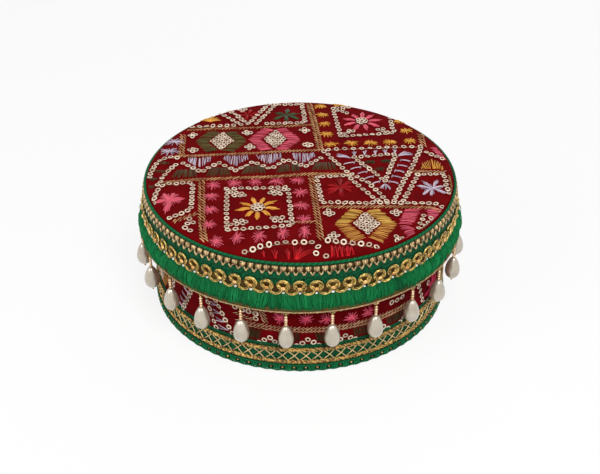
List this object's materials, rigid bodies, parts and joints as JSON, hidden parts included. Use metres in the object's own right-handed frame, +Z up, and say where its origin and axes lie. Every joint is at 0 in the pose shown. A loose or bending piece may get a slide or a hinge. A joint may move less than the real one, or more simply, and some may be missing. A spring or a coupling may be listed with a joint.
{
  "type": "sweet box",
  "caption": "Round cloth-covered sweet box with a lift-off lid, patchwork embroidery, green and gold trims, a brush fringe and hanging drop pearls.",
  "frame": {"origin": "centre of the underside, on the surface it stands on", "axes": "+Z up along the drum's axis; the side seen in the picture is towards -Y, with +X to its right"},
  "size_m": [0.1972, 0.1972, 0.0774],
  "materials": {
    "board": "raw grey board",
    "embroidered_cloth": "maroon cotton, thread embroidery and ring sequins",
    "lining": "satin",
    "padding": "polyester wadding",
    "green_trim": "rayon yarn",
    "gold_thread": "metallic yarn and wire",
    "pearl": "pearlescent",
    "felt": "felt"
  },
  "bodies": {
    "base": {"base_floor_board": "board", "base_floor_pad": "lining", "base_foot_gimp": "green_trim", "base_foot_ribbon": "green_trim", "base_gimp_dots": "gold_thread", "base_gold_lace": "gold_thread", "base_underside_sheet": "felt", "base_wall_board": "board", "base_wall_cloth": "embroidered_cloth", "base_wall_lining": "lining"},
    "lid": {"lid_braid_beads": "pearl", "lid_edge_piping": "green_trim", "lid_fringe": "green_trim", "lid_gold_chain": "gold_thread", "lid_pearl_loops": "gold_thread", "lid_pearl_tape": "gold_thread", "lid_rim_board": "board", "lid_rim_lining": "lining", "lid_rim_ribbon": "green_trim", "lid_scallop_braid": "gold_thread", "lid_top_board": "board", "lid_top_cloth": "embroidered_cloth", "lid_top_lining": "lining", "lid_top_padding": "padding"},
    "pearl_drop_01": {"pearl_drop_01": "pearl"},
    "pearl_drop_02": {"pearl_drop_02": "pearl"},
    "pearl_drop_03": {"pearl_drop_03": "pearl"},
    "pearl_drop_04": {"pearl_drop_04": "pearl"},
    "pearl_drop_05": {"pearl_drop_05": "pearl"},
    "pearl_drop_06": {"pearl_drop_06": "pearl"},
    "pearl_drop_07": {"pearl_drop_07": "pearl"},
    "pearl_drop_08": {"pearl_drop_08": "pearl"},
    "pearl_drop_09": {"pearl_drop_09": "pearl"},
    "pearl_drop_10": {"pearl_drop_10": "pearl"},
    "pearl_drop_11": {"pearl_drop_11": "pearl"},
    "pearl_drop_12": {"pearl_drop_12": "pearl"},
    "pearl_drop_13": {"pearl_drop_13": "pearl"},
    "pearl_drop_14": {"pearl_drop_14": "pearl"},
    "pearl_drop_15": {"pearl_drop_15": "pearl"},
    "pearl_drop_16": {"pearl_drop_16": "pearl"},
    "pearl_drop_17": {"pearl_drop_17": "pearl"},
    "pearl_drop_18": {"pearl_drop_18": "pearl"},
    "pearl_drop_19": {"pearl_drop_19": "pearl"},
    "pearl_drop_20": {"pearl_drop_20": "pearl"},
    "pearl_drop_21": {"pearl_drop_21": "pearl"},
    "pearl_drop_22": {"pearl_drop_22": "pearl"},
    "pearl_drop_23": {"pearl_drop_23": "pearl"},
    "pearl_drop_24": {"pearl_drop_24": "pearl"}
  },
  "joints": [
    {"name": "lid_lift", "type": "slide", "parent": "base", "child": "lid", "axis": [0, 0, 1], "range_m": [0, 0.08]},
    {"name": "pearl_swing_01", "type": "hinge", "parent": "lid", "child": "pearl_drop_01", "pos_m": [-0.00741, -0.09421, 0.0455], "axis": [-0.9969, 0.0785, 0], "range_deg": [-10, 80]},
    {"name": "pearl_swing_02", "type": "hinge", "parent": "lid", "child": "pearl_drop_02", "pos_m": [0.01722, -0.09292, 0.0455], "axis": [-0.9833, -0.1822, 0], "range_deg": [-10, 80]},
    {"name": "pearl_swing_03", "type": "hinge", "parent": "lid", "child": "pearl_drop_03", "pos_m": [0.04068, -0.08529, 0.0455], "axis": [-0.9026, -0.4305, 0], "range_deg": [-10, 80]},
    {"name": "pearl_swing_04", "type": "hinge", "parent": "lid", "child": "pearl_drop_04", "pos_m": [0.06137, -0.07186, 0.0455], "axis": [-0.7604, -0.6494, 0], "range_deg": [-10, 80]},
    {"name": "pearl_swing_05", "type": "hinge", "parent": "lid", "child": "pearl_drop_05", "pos_m": [0.07788, -0.05353, 0.0455], "axis": [-0.5664, -0.8241, 0], "range_deg": [-10, 80]},
    {"name": "pearl_swing_06", "type": "hinge", "parent": "lid", "child": "pearl_drop_06", "pos_m": [0.08908, -0.03154, 0.0455], "axis": [-0.3338, -0.9426, 0], "range_deg": [-10, 80]},
    {"name": "pearl_swing_07", "type": "hinge", "parent": "lid", "child": "pearl_drop_07", "pos_m": [0.09421, -0.00741, 0.0455], "axis": [-0.0785, -0.9969, 0], "range_deg": [-10, 80]},
    {"name": "pearl_swing_08", "type": "hinge", "parent": "lid", "child": "pearl_drop_08", "pos_m": [0.09292, 0.01722, 0.0455], "axis": [0.1822, -0.9833, 0], "range_deg": [-10, 80]},
    {"name": "pearl_swing_09", "type": "hinge", "parent": "lid", "child": "pearl_drop_09", "pos_m": [0.08529, 0.04068, 0.0455], "axis": [0.4305, -0.9026, 0], "range_deg": [-10, 80]},
    {"name": "pearl_swing_10", "type": "hinge", "parent": "lid", "child": "pearl_drop_10", "pos_m": [0.07186, 0.06137, 0.0455], "axis": [0.6494, -0.7604, 0], "range_deg": [-10, 80]},
    {"name": "pearl_swing_11", "type": "hinge", "parent": "lid", "child": "pearl_drop_11", "pos_m": [0.05353, 0.07788, 0.0455], "axis": [0.8241, -0.5664, 0], "range_deg": [-10, 80]},
    {"name": "pearl_swing_12", "type": "hinge", "parent": "lid", "child": "pearl_drop_12", "pos_m": [0.03154, 0.08908, 0.0455], "axis": [0.9426, -0.3338, 0], "range_deg": [-10, 80]},
    {"name": "pearl_swing_13", "type": "hinge", "parent": "lid", "child": "pearl_drop_13", "pos_m": [0.00741, 0.09421, 0.0455], "axis": [0.9969, -0.0785, 0], "range_deg": [-10, 80]},
    {"name": "pearl_swing_14", "type": "hinge", "parent": "lid", "child": "pearl_drop_14", "pos_m": [-0.01722, 0.09292, 0.0455], "axis": [0.9833, 0.1822, 0], "range_deg": [-10, 80]},
    {"name": "pearl_swing_15", "type": "hinge", "parent": "lid", "child": "pearl_drop_15", "pos_m": [-0.04068, 0.08529, 0.0455], "axis": [0.9026, 0.4305, 0], "range_deg": [-10, 80]},
    {"name": "pearl_swing_16", "type": "hinge", "parent": "lid", "child": "pearl_drop_16", "pos_m": [-0.06137, 0.07186, 0.0455], "axis": [0.7604, 0.6494, 0], "range_deg": [-10, 80]},
    {"name": "pearl_swing_17", "type": "hinge", "parent": "lid", "child": "pearl_drop_17", "pos_m": [-0.07788, 0.05353, 0.0455], "axis": [0.5664, 0.8241, 0], "range_deg": [-10, 80]},
    {"name": "pearl_swing_18", "type": "hinge", "parent": "lid", "child": "pearl_drop_18", "pos_m": [-0.08908, 0.03154, 0.0455], "axis": [0.3338, 0.9426, 0], "range_deg": [-10, 80]},
    {"name": "pearl_swing_19", "type": "hinge", "parent": "lid", "child": "pearl_drop_19", "pos_m": [-0.09421, 0.00741, 0.0455], "axis": [0.0785, 0.9969, 0], "range_deg": [-10, 80]},
    {"name": "pearl_swing_20", "type": "hinge", "parent": "lid", "child": "pearl_drop_20", "pos_m": [-0.09292, -0.01722, 0.0455], "axis": [-0.1822, 0.9833, 0], "range_deg": [-10, 80]},
    {"name": "pearl_swing_21", "type": "hinge", "parent": "lid", "child": "pearl_drop_21", "pos_m": [-0.08529, -0.04068, 0.0455], "axis": [-0.4305, 0.9026, 0], "range_deg": [-10, 80]},
    {"name": "pearl_swing_22", "type": "hinge", "parent": "lid", "child": "pearl_drop_22", "pos_m": [-0.07186, -0.06137, 0.0455], "axis": [-0.6494, 0.7604, 0], "range_deg": [-10, 80]},
    {"name": "pearl_swing_23", "type": "hinge", "parent": "lid", "child": "pearl_drop_23", "pos_m": [-0.05353, -0.07788, 0.0455], "axis": [-0.8241, 0.5664, 0], "range_deg": [-10, 80]},
    {"name": "pearl_swing_24", "type": "hinge", "parent": "lid", "child": "pearl_drop_24", "pos_m": [-0.03154, -0.08908, 0.0455], "axis": [-0.9426, 0.3338, 0], "range_deg": [-10, 80]}
  ]
}
